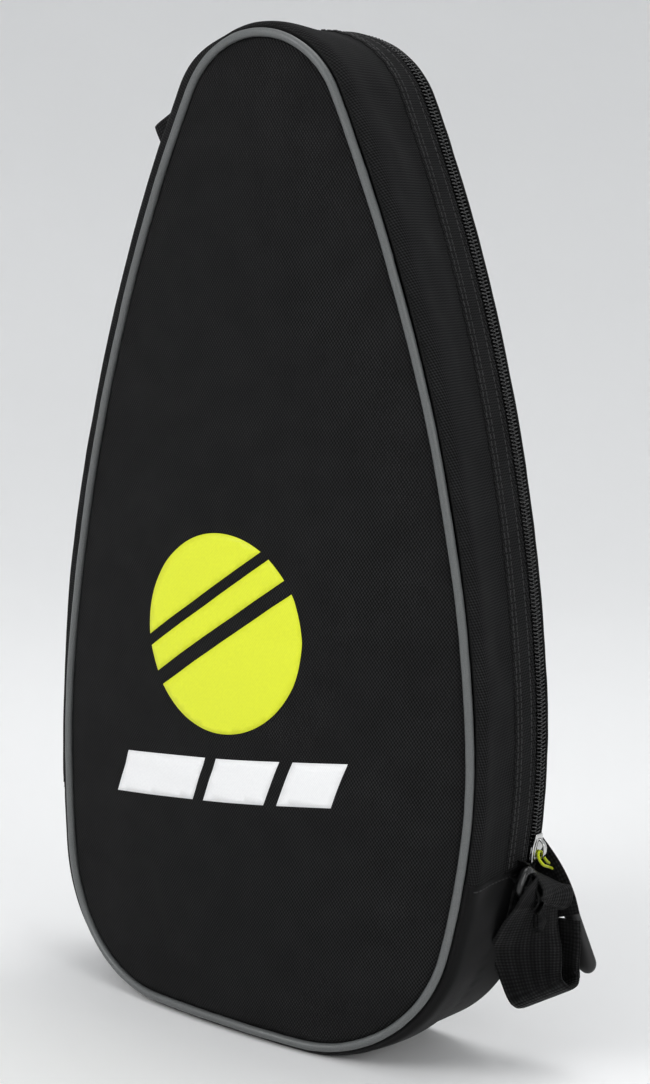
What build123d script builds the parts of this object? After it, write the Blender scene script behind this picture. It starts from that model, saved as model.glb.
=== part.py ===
from build123d import *
from math import cos, radians, sin, sqrt
import os

# Paddle case for table tennis or pickleball paddles, in millimetres.
# +Z runs up the case, the printed front faces -Y, and the origin is the middle of the
# flat stretch of the base. The case opens at the back: a zip runs up both sides and
# over the top, and the back panel folds down above the stretch that stays sewn.

# ---- Driving dimensions ----
DEPTH = 71.0  # front apex to the back panel's outer face
FRONT_BOW_RADIUS = 450.0  # the front panel curves back towards both sides
# Outline of the piping, clockwise from the top: radius and end angle of each arc
OUTLINE_ARCS = [(46.0, 63.7), (783.0, 83.3), (356.5, 101.6), (69.1, 180.0)]

PIPING_RADIUS = 2.6
FABRIC = 1.2
LINING = 0.8
FOAM = 4.0
FOAM_GAP = 1.6  # between the front fabric and its foam
DOOR_CORE_EDGE = -2.0  # edge of the back foam and lining, inside the piping line
GUSSET_IN = 3.0  # how far the gusset's inner face stands outside the piping line
GUSSET_OUT = GUSSET_IN + FABRIC
BAND_OUT = 4.6  # outer face of the narrow strip beside the zip

CROSS_SEAM_Z = 92.0  # seam between the side gusset and the bottom gusset
HINGE_Z = 108.5  # fold line of the back panel
FOLD_GAP = 0.4
SIDE_SEAM_FROM_BACK = 27.0  # seam between the side gusset and the zip band
BAND_EDGE_FROM_BACK = 12.0  # rear edge of the zip band

CHAIN_FROM_BACK = 5.8  # middle of the zip chain
CHAIN_GAP = 1.2
COIL_WIDTH = 2.7
COIL_HEIGHT = 2.6
TAPE = 0.8
STOP_HEIGHT = 1.6

SLIDER_LENGTH = 14.0
SLIDER_WIDTH = 8.4
SLIDER_Z = 100.0  # middle of the slider when the case is shut
PLATE = 1.2
SLIDER_TOP = COIL_HEIGHT + 0.4  # inner face of the outer plate, above the tape
SLIDER_BELOW = TAPE + 0.3  # outer face of the inner plate, below the tape's outer face
BRIDGE_HEIGHT = 3.4
BRIDGE_LENGTH = 8.0

CORD_RADIUS = 0.75
CORD_SPREAD = 2.3  # each leg's distance from the middle of the bridge
PULL_TOP = Vector(132.5, 42.0, 89.0)  # where the legs enter the grip
PULL_END = Vector(144.0, 46.8, 46.5)  # middle of the grip's round end
PULL_NECK = 5.2
PULL_WIDTH = 9.2
PULL_THICKNESS = 5.6

PRINT_SKIN = 0.25
EMBLEM_CENTRE = (-8.0, 186.0)
EMBLEM_RADIUS = 46.0
EMBLEM_TILT = 35.0
CLEAR_STRIPES = [(0.0, 7.0), (18.0, 5.0)]  # middle and width of each stripe across the disc
BAR_CENTRE = (0.0, 119.0)
BAR_TILT = 7.5
BAR_HALF_HEIGHT = 10.0
BAR_SLANT = 5.0
BAR_BLOCKS = [(-72.0, -18.0), (-11.0, 25.0), (32.0, 60.0)]

STRAP_WIDTH = 32.0
STRAP_THICKNESS = 1.6
STRAP_STEEPNESS = 58.7  # degrees below level, from upper left to lower right
STRAP_STANDOFF = 2.5  # gap between the back panel and the strap
STRAP_FOLD = Vector(130.0, 0, 38.0)  # middle of the lower fold
STRAP_FOLD_RADIUS = 7.0
STRAP_TOP_Z = 423.0  # height of the strap's upper fold
UPPER_FOLD_RADIUS = 1.7
SEWN_PLY = 110.0  # ply from the upper fold to the seam in the door's edge
PLY_MIDDLE = Vector(134.5, 19.0, 58.0)  # front ply of the lower loop, half way to the ring
DOOR_CLEAR = 1.5  # the door's strap starts this far above the fold line
HINGE_CLEAR = 6.0  # and the case's strap ends this far below it

RING_BAR = 2.1  # radius of the ring's bars
RING_REACH = 10.5  # between the middles of its two long bars
RING_LENGTH = 27.0
RING_TILT = 33.5  # degrees that its bars fall towards the back
RING_LOW = Vector(129.5, 19.0, 78.5)  # middle of its lower long bar

Y_FRONT = -DEPTH / 2
Y_BACK = DEPTH / 2
Y_CHAIN = Y_BACK - CHAIN_FROM_BACK
BIG = 600.0
ALIGN_START = (Align.CENTER, Align.CENTER, Align.MIN)


# ---- Outline of the case ----
def drop(radius, start, end):
    """Height lost along an arc between two angles, measured from straight up."""
    return radius * (cos(radians(start)) - cos(radians(end)))


ARC_STARTS = [0.0] + [end for _, end in OUTLINE_ARCS[:-1]]
CASE_HEIGHT = sum(drop(r, a, b) for (r, b), a in zip(OUTLINE_ARCS, ARC_STARTS))
TOP_Z = GUSSET_OUT + CASE_HEIGHT


def outline_arcs():
    """Right half of the piping line: centre x, centre z, radius, start and end angle."""
    x, z, arcs = 0.0, TOP_Z, []
    for (radius, end), start in zip(OUTLINE_ARCS, ARC_STARTS):
        cx = x - radius * sin(radians(start))
        cz = z - radius * cos(radians(start))
        arcs.append((cx, cz, radius, start, end))
        x = cx + radius * sin(radians(end))
        z = cz + radius * cos(radians(end))
    return arcs


ARCS = outline_arcs()
SIDE_CX, SIDE_CZ, SIDE_RADIUS = ARCS[2][:3]


def outline_face(offset):
    """The case's outline, grown by offset, as a face in the XZ plane."""
    right, left = [], []
    for cx, cz, radius, start, end in ARCS:
        turn = end - start
        right.append(CenterArc((cx, cz), radius + offset, 90 - start, -turn))
        left.append(CenterArc((-cx, cz), radius + offset, 90 + start, turn))
    base = Line(right[-1] @ 1, left[-1] @ 1)
    return Plane.XZ * make_face([*right, base, *left])


def slab(offset, y_low, y_high):
    """A plate with the case's outline between two depths."""
    face = Pos(0, y_low, 0) * outline_face(offset)
    return extrude(face, amount=y_high - y_low, dir=(0, 1, 0))


def band(inner, outer, y_low, y_high):
    """A wall that follows the case's outline."""
    return slab(outer, y_low, y_high) - slab(inner, y_low - 1, y_high + 1)


def behind_bow(inset):
    """Everything behind the bowed front surface, moved back by inset."""
    radius = FRONT_BOW_RADIUS - inset
    return Pos(0, Y_FRONT + FRONT_BOW_RADIUS, BIG / 2) * Cylinder(radius, 2 * BIG)


def above(z):
    return Pos(0, 0, z + BIG / 2) * Box(BIG, BIG, BIG)


def below(z):
    return Pos(0, 0, z - BIG / 2) * Box(BIG, BIG, BIG)


def side_point(z, offset):
    """X of the right side wall at a height on its long lower arc."""
    return SIDE_CX + sqrt((SIDE_RADIUS + offset) ** 2 - (z - SIDE_CZ) ** 2)


# ---- Front: fabric, foam, lining, piping and printed emblem ----
def front_pieces():
    fabric_edge, core_edge = -PIPING_RADIUS - 0.1, GUSSET_IN - LINING - 0.1
    shell = slab(fabric_edge, Y_FRONT - 1, Y_BACK)
    core = slab(core_edge, Y_FRONT - 1, Y_BACK)
    fabric = shell & (behind_bow(0) - behind_bow(FABRIC))
    foam_face = FABRIC + FOAM_GAP
    inset = foam_face + FOAM
    foam = core & (behind_bow(foam_face) - behind_bow(inset))
    lining = core & (behind_bow(inset) - behind_bow(inset + LINING))
    return {"front_panel": fabric, "front_foam": foam, "front_lining": lining}


def piping():
    """Round-edged cord that follows the outline on the bowed front."""
    ring = band(-PIPING_RADIUS, PIPING_RADIUS, Y_FRONT - 4, 0)
    return ring & (behind_bow(-PIPING_RADIUS + 1.2) - behind_bow(PIPING_RADIUS + 0.2))


def printed(sketch):
    """A print as a thin skin that stands just proud of the front fabric."""
    face = Pos(0, Y_FRONT - 1, 0) * (Plane.XZ * sketch)
    block = extrude(face, amount=DEPTH / 2, dir=(0, 1, 0))
    return block & (behind_bow(-PRINT_SKIN) - behind_bow(0))


def emblem():
    """A plain lime disc crossed by clear stripes."""
    disc = Circle(EMBLEM_RADIUS)
    for middle, width in CLEAR_STRIPES:
        disc -= Pos(0, middle) * Rectangle(3 * EMBLEM_RADIUS, width)
    return printed(Pos(*EMBLEM_CENTRE) * Rot(0, 0, EMBLEM_TILT) * disc)


def emblem_stripe():
    """A plain white bar of three slanted blocks under the disc."""
    blocks = Sketch()
    half, slant = BAR_HALF_HEIGHT, BAR_SLANT
    for left, right in BAR_BLOCKS:
        low = [(left - slant, -half), (right - slant, -half)]
        high = [(right + slant, half), (left + slant, half)]
        blocks += Pos(*BAR_CENTRE) * Rot(0, 0, BAR_TILT) * Polygon(*low, *high, align=None)
    return printed(blocks)


# ---- Gusset: side strip, zip band, bottom strip and lining ----
def gusset_pieces():
    y_start, y_seam = Y_FRONT - 1, Y_BACK - SIDE_SEAM_FROM_BACK
    y_band = Y_BACK - BAND_EDGE_FROM_BACK
    bowed = behind_bow(0.4)
    side = band(GUSSET_IN, GUSSET_OUT, y_start, y_seam) & bowed & above(CROSS_SEAM_Z)
    zip_band = band(GUSSET_IN, BAND_OUT, y_seam, y_band) & above(CROSS_SEAM_Z)
    base = band(GUSSET_IN, GUSSET_OUT, y_start, Y_BACK - FABRIC) & bowed & below(CROSS_SEAM_Z)
    lining = band(GUSSET_IN - LINING, GUSSET_IN, y_start, y_band - 3)
    lining &= behind_bow(PIPING_RADIUS + 0.4)
    return {
        "side_gusset": side,
        "zip_band": zip_band,
        "bottom_gusset": base,
        "gusset_lining": lining,
    }


# ---- Zip: two tapes, two half chains, end stops ----
def zip_pieces():
    half_gap = CHAIN_GAP / 2
    tape_in, tape_out = GUSSET_IN - TAPE, GUSSET_IN
    coil_out = GUSSET_IN + COIL_HEIGHT
    over = above(CROSS_SEAM_Z + 0.2)
    y_band = Y_BACK - BAND_EDGE_FROM_BACK
    front_tape = band(tape_in, tape_out, y_band - 3, Y_CHAIN - half_gap) & over
    front_coil = band(tape_out, coil_out, Y_CHAIN - half_gap - COIL_WIDTH, Y_CHAIN - half_gap)
    back_tape = band(tape_in, tape_out, Y_CHAIN + half_gap, Y_BACK - FABRIC)
    back_coil = band(tape_out, coil_out, Y_CHAIN + half_gap, Y_CHAIN + half_gap + COIL_WIDTH)
    door, sewn = above(HINGE_Z + FOLD_GAP), below(HINGE_Z) & over
    chain = above(CROSS_SEAM_Z + STOP_HEIGHT + 0.6)
    stop = Box(COIL_HEIGHT, 2 * COIL_WIDTH + CHAIN_GAP, STOP_HEIGHT)
    stops = []
    for side in (-1, 1):
        x = side * (side_point(CROSS_SEAM_Z + 1, tape_out) + COIL_HEIGHT / 2 + 0.1)
        stops.append(Pos(x, Y_CHAIN, CROSS_SEAM_Z + STOP_HEIGHT / 2 + 0.3) * stop)
    return {
        "front_zip_tape": front_tape,
        "front_zip_coil": front_coil & chain,
        "back_zip_tape": back_tape & door,
        "back_zip_coil": back_coil & door,
        "back_zip_tape_end": back_tape & sewn,
        "back_zip_coil_end": back_coil & sewn & chain,
        "zip_end_stops": stops,
    }


# ---- Back panel: the door above the fold line, and the sewn part below it ----
def back_pieces():
    y_fabric = Y_BACK - FABRIC
    y_foam = y_fabric - FOAM
    fabric = slab(GUSSET_IN, y_fabric, Y_BACK)
    foam = slab(DOOR_CORE_EDGE, y_foam, y_fabric)
    lining = slab(DOOR_CORE_EDGE, y_foam - LINING, y_foam)
    binding = band(GUSSET_IN, BAND_OUT, Y_BACK - 1.7, Y_BACK + 0.6)
    low_binding = binding & above(CROSS_SEAM_Z) & below(HINGE_Z - 1.2)
    door, sewn = above(HINGE_Z + FOLD_GAP), below(HINGE_Z)
    return {
        "back_panel": fabric & door,
        "back_foam": foam & door,
        "back_lining": lining & door,
        "back_binding": binding & above(HINGE_Z + 1.0),
        "lower_back_panel": fabric & sewn,
        "lower_back_foam": foam & sewn,
        "lower_back_lining": lining & sewn,
        "lower_back_binding": low_binding,
    }


# ---- Zip slider: two plates joined by a thin post, with a bridge for the pull ----
def slider_frame():
    """Plane at the slider: X out of the side wall, Y to the back, Z up along the zip."""
    x = side_point(SLIDER_Z, GUSSET_IN)
    out = Vector(x - SIDE_CX, 0, SLIDER_Z - SIDE_CZ).normalized()
    return Location(Plane(origin=(x, Y_CHAIN, SLIDER_Z), x_dir=out, z_dir=(-out.Z, 0, out.X)))


def slider_plate(x_low):
    """A plate that is narrow at its upper end and wide at its lower end."""
    half, narrow = SLIDER_WIDTH / 2, SLIDER_WIDTH / 2 - 1.2
    end = SLIDER_LENGTH / 2
    shape = Polygon((-narrow, end), (-half, -end + 4), (-half, -end), (half, -end),
                    (half, -end + 4), (narrow, end), align=None)
    shape = fillet(shape.vertices(), 0.9)
    return extrude(Pos(x_low, 0, 0) * (Plane.YZ * shape), amount=PLATE, dir=(1, 0, 0))


def zip_slider():
    inner = slider_plate(-SLIDER_BELOW - PLATE)
    outer = slider_plate(SLIDER_TOP)
    post_span = SLIDER_TOP + SLIDER_BELOW + 0.4
    post_x = (SLIDER_TOP - SLIDER_BELOW) / 2
    post = Pos(post_x, 0, -SLIDER_LENGTH / 2 + 3) * Box(post_span, CHAIN_GAP - 0.5, 3.6)
    return slider_frame() * (inner + outer + post)


def slider_bridge():
    """Flat arch that stands on the outer plate and holds the pull."""
    x_low = SLIDER_TOP + PLATE
    solid = Box(BRIDGE_HEIGHT, 2.2, BRIDGE_LENGTH)
    hole = Pos(-0.6, 0, 0) * Box(BRIDGE_HEIGHT - 1.2, 4, BRIDGE_LENGTH - 2.8)
    return slider_frame() * (Pos(x_low + BRIDGE_HEIGHT / 2, 0, 0) * (solid - hole))


# ---- Pull: a cord loop through the bridge and a moulded rubber grip ----
def pull_origin():
    """Middle of the cord where it passes under the bridge."""
    return (slider_frame() * Pos(SLIDER_TOP + PLATE + 1.1, 0, -1.4)).position


def rod(start, end, radius):
    return Plane(origin=start, z_dir=end - start) * Cylinder(
        radius, (end - start).length, align=ALIGN_START
    )


def pull_cord():
    """Two legs of cord from the bridge to the grip, joined under the bridge."""
    origin = pull_origin()
    ball = Sphere(CORD_RADIUS)
    half = Vector(0, CORD_SPREAD, 0)
    cord = rod(origin - half, origin + half, CORD_RADIUS)
    for side in (-1, 1):
        aside = half * side
        bend = origin + aside + Vector(2.6, 0.4, -5.6)
        spots = [origin + aside, bend, PULL_TOP + aside * 0.6]
        for start, end in zip(spots, spots[1:]):
            cord += rod(start, end, CORD_RADIUS) + Pos(start) * ball
    return cord


def rubber_pull():
    """Flat moulded grip, narrow at the cord and round at its free end."""
    along = PULL_END - PULL_TOP
    facing = Vector(0, 1, 0).cross(along).cross(along)
    plane = Plane(origin=PULL_TOP, x_dir=along, z_dir=facing)
    length, neck, end = along.length, PULL_NECK / 2, PULL_WIDTH / 2
    shape = Polygon((0, -neck), (length, -end), (length, end), (0, neck), align=None)
    shape += Pos(length, 0) * Circle(end)
    grip = extrude(plane * shape, amount=PULL_THICKNESS / 2, both=True)
    outer = grip.faces().sort_by(Axis((0, 0, 0), tuple(plane.z_dir)))[-1]
    return fillet(outer.edges(), 1.4)


# ---- Strap: diagonal webbing behind the case, with a fold at each end ----
STRAP_DOWN = Vector(cos(radians(STRAP_STEEPNESS)), 0, -sin(radians(STRAP_STEEPNESS)))
STRAP_ACROSS = Vector(-STRAP_DOWN.Z, 0, STRAP_DOWN.X)
STRAP_Y = Y_BACK + STRAP_STANDOFF + STRAP_THICKNESS / 2


def strap_point(z):
    """Middle of the strap at a height."""
    steps = (STRAP_FOLD.Z - z) / STRAP_DOWN.Z
    return Vector(STRAP_FOLD.X, STRAP_Y, STRAP_FOLD.Z) - STRAP_DOWN * steps


def webbing(start, end, across, thickness=STRAP_THICKNESS, width=STRAP_WIDTH):
    """A flat run of webbing between two points."""
    along = end - start
    plane = Plane(origin=(start + end) / 2, x_dir=along, z_dir=along.cross(across))
    return plane * Box(along.length, width, thickness)


def turn(centre, across, radius, width=STRAP_WIDTH, thickness=STRAP_THICKNESS):
    """A tube of webbing wrapped round an axis."""
    plane = Plane(origin=centre, z_dir=across)
    tube = Cylinder(radius + thickness / 2, width) - Cylinder(radius - thickness / 2, width + 2)
    return plane * tube


def half_turn(centre, across, outward, radius, width=STRAP_WIDTH):
    """The half of such a tube that lies on the outward side."""
    keep = Plane(origin=centre + outward * 20, x_dir=across, z_dir=outward) * Box(80, 80, 40)
    return turn(centre, across, radius, width) & keep


def strap_upper():
    """The strap's run on the door, its upper fold and the ply sewn into the door's edge."""
    low, high = strap_point(HINGE_Z), strap_point(STRAP_TOP_Z)
    fold = Vector(0, -UPPER_FOLD_RADIUS, 0)
    run = webbing(low, high, STRAP_ACROSS) & above(HINGE_Z + DOOR_CLEAR)
    loop = half_turn(high + fold, STRAP_ACROSS, -STRAP_DOWN, UPPER_FOLD_RADIUS)
    ply = webbing(high + fold * 2, high + fold * 2 + STRAP_DOWN * SEWN_PLY, STRAP_ACROSS)
    return run + loop + (ply - slab(BAND_OUT + 0.2, 0, Y_BACK + 5))


RING_ALONG = Vector(0, cos(radians(RING_TILT)), -sin(radians(RING_TILT)))
RING_UP = Vector(0, sin(radians(RING_TILT)), cos(radians(RING_TILT)))
RING_HIGH = RING_LOW + RING_UP * RING_REACH
WRAP = RING_BAR + 0.35 + STRAP_THICKNESS / 2


def strap_lower():
    """The strap's run below the fold line, its hanging fold and the ply up to the ring."""
    low = strap_point(STRAP_FOLD.Z)
    fold = Vector(0, -STRAP_FOLD_RADIUS, 0)
    run = webbing(strap_point(HINGE_Z + STRAP_WIDTH / 2), low, STRAP_ACROSS)
    run &= below(HINGE_Z - HINGE_CLEAR)
    loop = half_turn(low + fold, STRAP_ACROSS, STRAP_DOWN, STRAP_FOLD_RADIUS)
    top = RING_LOW + Vector(3.2, -3.0, -5.5)
    spots = [
        (low + fold * 2, STRAP_ACROSS, Vector(0, 1, 0)),
        (PLY_MIDDLE, Vector(0.72, 0.62, 0.3), Vector(-0.6, 0.75, 0)),
        (top, RING_ALONG, Vector(1, 0, 0)),
    ]
    sections = []
    for spot, across, normal in spots:
        plane = Plane(origin=spot, x_dir=across, z_dir=across.cross(normal).normalized())
        sections.append(plane * Rectangle(STRAP_WIDTH - 1, STRAP_THICKNESS))
    front = [loft(sections[i : i + 2], ruled=True) for i in range(2)]
    return run + loop + front[0] + front[1]


def strap_end():
    """The strap's end, wrapped round the ring's lower bar."""
    return turn(RING_LOW, RING_ALONG, WRAP, width=RING_LENGTH - 2 * RING_BAR - 3)


# ---- Ring and tabs ----
def strap_ring():
    """Rounded rectangular ring of round bar, with its long bars parallel to the tab."""
    middle = (RING_LOW + RING_HIGH) / 2
    plane = Plane(origin=middle, x_dir=RING_ALONG, z_dir=RING_ALONG.cross(RING_UP))
    path = RectangleRounded(RING_LENGTH, RING_REACH, 3.4).wire()
    start = Plane(origin=path @ 0, z_dir=path % 0)
    return plane * sweep(start * Circle(RING_BAR), path=path)


def lower_strap_tab():
    """Short webbing loop from the cross seam round the ring's upper bar."""
    width = RING_LENGTH - 2 * RING_BAR - 3
    wall = side_point(RING_HIGH.Z, GUSSET_OUT) - 4
    offset = RING_UP * WRAP
    tab = half_turn(RING_HIGH, RING_ALONG, Vector(1, 0, 0), WRAP, width)
    for side in (-1, 1):
        start = RING_HIGH + offset * side
        tab += webbing(Vector(wall, start.Y, start.Z), start, RING_ALONG, width=width)
    case = slab(GUSSET_OUT + 0.02, Y_FRONT, Y_BACK + 5)
    zip_room = slab(GUSSET_IN + COIL_HEIGHT + 0.2, Y_FRONT, Y_BACK + 5)
    return tab - case - (zip_room & above(CROSS_SEAM_Z - 0.2))


def build():
    pieces = {}
    pieces.update(front_pieces())
    pieces["front_piping"] = piping()
    pieces["front_emblem"] = emblem()
    pieces["front_stripe"] = emblem_stripe()
    pieces.update(gusset_pieces())
    pieces.update(zip_pieces())
    pieces.update(back_pieces())
    pieces["zip_slider"] = zip_slider()
    pieces["slider_bridge"] = slider_bridge()
    pieces["pull_cord"] = pull_cord()
    pieces["rubber_pull"] = rubber_pull()
    pieces["strap_upper"] = strap_upper()
    pieces["strap_lower"] = strap_lower()
    pieces["strap_end"] = strap_end()
    pieces["strap_ring"] = strap_ring()
    pieces["lower_strap_tab"] = lower_strap_tab()
    return pieces


os.makedirs("parts", exist_ok=True)
for name, piece in build().items():
    shape = Compound(piece) if isinstance(piece, list) else piece
    export_step(shape, f"parts/{name}.step")
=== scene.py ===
from math import cos, pi, radians, sin, sqrt

import bmesh
import bpy
import numpy as np
from mathutils import Matrix, Vector, noise
from mathutils.bvhtree import BVHTree
from mathutils.geometry import delaunay_2d_cdt
from mathutils.kdtree import KDTree


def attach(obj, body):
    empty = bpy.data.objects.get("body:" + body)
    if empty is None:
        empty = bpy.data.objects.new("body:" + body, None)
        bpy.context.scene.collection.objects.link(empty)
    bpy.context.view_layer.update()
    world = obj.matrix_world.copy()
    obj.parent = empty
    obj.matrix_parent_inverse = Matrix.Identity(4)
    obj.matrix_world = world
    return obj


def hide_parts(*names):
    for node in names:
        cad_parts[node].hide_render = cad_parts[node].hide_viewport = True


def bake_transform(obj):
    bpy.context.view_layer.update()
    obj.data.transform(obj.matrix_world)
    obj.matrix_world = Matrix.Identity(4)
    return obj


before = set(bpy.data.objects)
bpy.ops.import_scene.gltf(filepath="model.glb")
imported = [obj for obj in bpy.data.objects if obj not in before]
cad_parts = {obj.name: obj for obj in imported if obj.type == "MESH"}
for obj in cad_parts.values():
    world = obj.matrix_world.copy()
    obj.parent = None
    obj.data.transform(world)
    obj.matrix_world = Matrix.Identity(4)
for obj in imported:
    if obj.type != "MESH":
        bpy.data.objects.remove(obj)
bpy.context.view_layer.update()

# Lengths are in millimetres up to mesh_object, which writes metres.
MM = 0.001
DEPTH = 71.0
Y_FRONT, Y_BACK = -DEPTH / 2, DEPTH / 2
BOW_RADIUS = 450.0
OUTLINE_ARCS = [(46.0, 63.7), (783.0, 83.3), (356.5, 101.6), (69.1, 180.0)]
GUSSET_OUT = 4.2
CROSS_SEAM_Z = 92.0
Y_SEAM = Y_BACK - 27.0
Y_BAND = Y_BACK - 12.0
Y_CHAIN = Y_BACK - 5.8


# ---- Outline: arc length s runs from the middle of the base, up the right side and round ----
def rim_arcs():
    """Arcs of the right half from the base up: centre, radius, lower angle, first s."""
    height = 0.0
    start = 0.0
    for radius, end in OUTLINE_ARCS:
        height += radius * (cos(radians(start)) - cos(radians(end)))
        start = end
    x, z, start, arcs = 0.0, GUSSET_OUT + height, 0.0, []
    for radius, end in OUTLINE_ARCS:
        cx, cz = x - radius * sin(radians(start)), z - radius * cos(radians(start))
        arcs.append((cx, cz, radius, radians(end), radians(end - start) * radius))
        x, z = cx + radius * sin(radians(end)), cz + radius * cos(radians(end))
        start = end
    s, rising = x, []
    for cx, cz, radius, low, length in reversed(arcs):
        rising.append((cx, cz, radius, low, s))
        s += length
    return x, z, rising, 2 * s


BASE_HALF, BASE_Z, RISING, RIM = rim_arcs()


def rim(s):
    """Points and outward normals (x, z) of the piping line."""
    s = np.mod(np.asarray(s, float), RIM)
    left = s > RIM / 2
    half = np.where(left, RIM - s, s)
    x, z = half.copy(), np.full_like(half, BASE_Z)
    nx, nz = np.zeros_like(half), -np.ones_like(half)
    for cx, cz, radius, low, start in RISING:
        angle = low - (half - start) / radius
        on = half >= start
        x = np.where(on, cx + radius * np.sin(angle), x)
        z = np.where(on, cz + radius * np.cos(angle), z)
        nx, nz = np.where(on, np.sin(angle), nx), np.where(on, np.cos(angle), nz)
    side = np.where(left, -1.0, 1.0)
    return np.stack([x * side, z], -1), np.stack([nx * side, nz], -1)


def height_s(z):
    """Arc length where the right side reaches a height."""
    s = np.linspace(BASE_HALF, RIM / 2, 4000)
    return float(np.interp(z, rim(s)[0][:, 1], s))


def bow(x):
    """Depth of the bowed front surface."""
    return Y_FRONT + BOW_RADIUS - np.sqrt(BOW_RADIUS**2 - np.asarray(x) ** 2)


def wander(x, y, z=0.0):
    """Smooth noise from -1 to 1, the same each run."""
    return noise.noise(Vector((float(x), float(y), float(z))))


def wanders(x, y, z=0.0):
    x, y = np.broadcast_arrays(x, y)
    flat = [wander(a, b, z) for a, b in zip(x.ravel(), y.ravel())]
    return np.array(flat).reshape(x.shape)


def ease(t):
    t = np.clip(t, 0, 1)
    return t * t * (3 - 2 * t)


def unit(vectors):
    return vectors / np.linalg.norm(vectors, axis=-1, keepdims=True)


def turns(count):
    """Evenly spaced angles of one full turn."""
    return np.linspace(0, 2 * pi, count, endpoint=False)


def run_length(points):
    """Distance along a row of points, from its first one."""
    return np.concatenate([[0], np.cumsum(np.linalg.norm(np.diff(points, axis=0), axis=1))])


def squared(wave, power):
    """A cosine or sine that makes a rounder square of a circle."""
    return np.sign(wave) * np.abs(wave) ** power


def circles(points, radius, first, second, sides):
    """A ring about each point of a path, in the plane of two directions."""
    turn = turns(sides)
    ring = first[:, None] * np.cos(turn)[None, :, None] + second[:, None] * np.sin(turn)[None, :, None]
    return points[:, None] + radius[:, None, None] * ring


def turned(points, degrees, centre):
    """Flat points turned about the origin and moved to a centre."""
    c, s = cos(radians(degrees)), sin(radians(degrees))
    x, z = points[:, 0], points[:, 1]
    return np.stack([x * c - z * s, x * s + z * c], -1) + np.array(centre)


def spline(points, count):
    """Catmull-Rom curve through rows of numbers."""
    p = np.asarray(points, float)
    p = np.vstack([2 * p[0] - p[1], p, 2 * p[-1] - p[-2]])
    t = np.linspace(0, len(p) - 3, count)
    i = np.minimum(t.astype(int), len(p) - 4)
    f = (t - i)[:, None]
    a, b, c, d = p[i], p[i + 1], p[i + 2], p[i + 3]
    return 0.5 * (2 * b + (c - a) * f + (2 * a - 5 * b + 4 * c - d) * f**2 + (3 * b - a - 3 * c + d) * f**3)


# ---- Materials ----
def node(tree, kind, props=None, **inputs):
    made = tree.nodes.new("ShaderNode" + kind)
    for key, value in (props or {}).items():
        setattr(made, key, value)
    for key, value in inputs.items():
        socket = made.inputs[int(key[1:]) if key[1:].isdigit() else key.replace("_", " ")]
        if isinstance(value, bpy.types.NodeSocket):
            tree.links.new(value, socket)
        else:
            socket.default_value = value
    return made


def blank(name):
    material = bpy.data.materials.new(name)
    material.use_nodes = True
    material.node_tree.nodes.clear()
    return material, material.node_tree


def close(tree, shader):
    out = tree.nodes.new("ShaderNodeOutputMaterial")
    tree.links.new(shader.outputs[0], out.inputs[0])


def calculator(tree):
    """A function that adds one maths node and gives its output."""
    def calc(operation, a, b=0.0):
        return node(tree, "Math", {"operation": operation}, _0=a, _1=b).outputs[0]

    return calc


def grey(value):
    """A faintly cool grey; a colour passes unchanged."""
    return value if isinstance(value, tuple) else (value, value, value * 1.02, 1.0)


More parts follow.
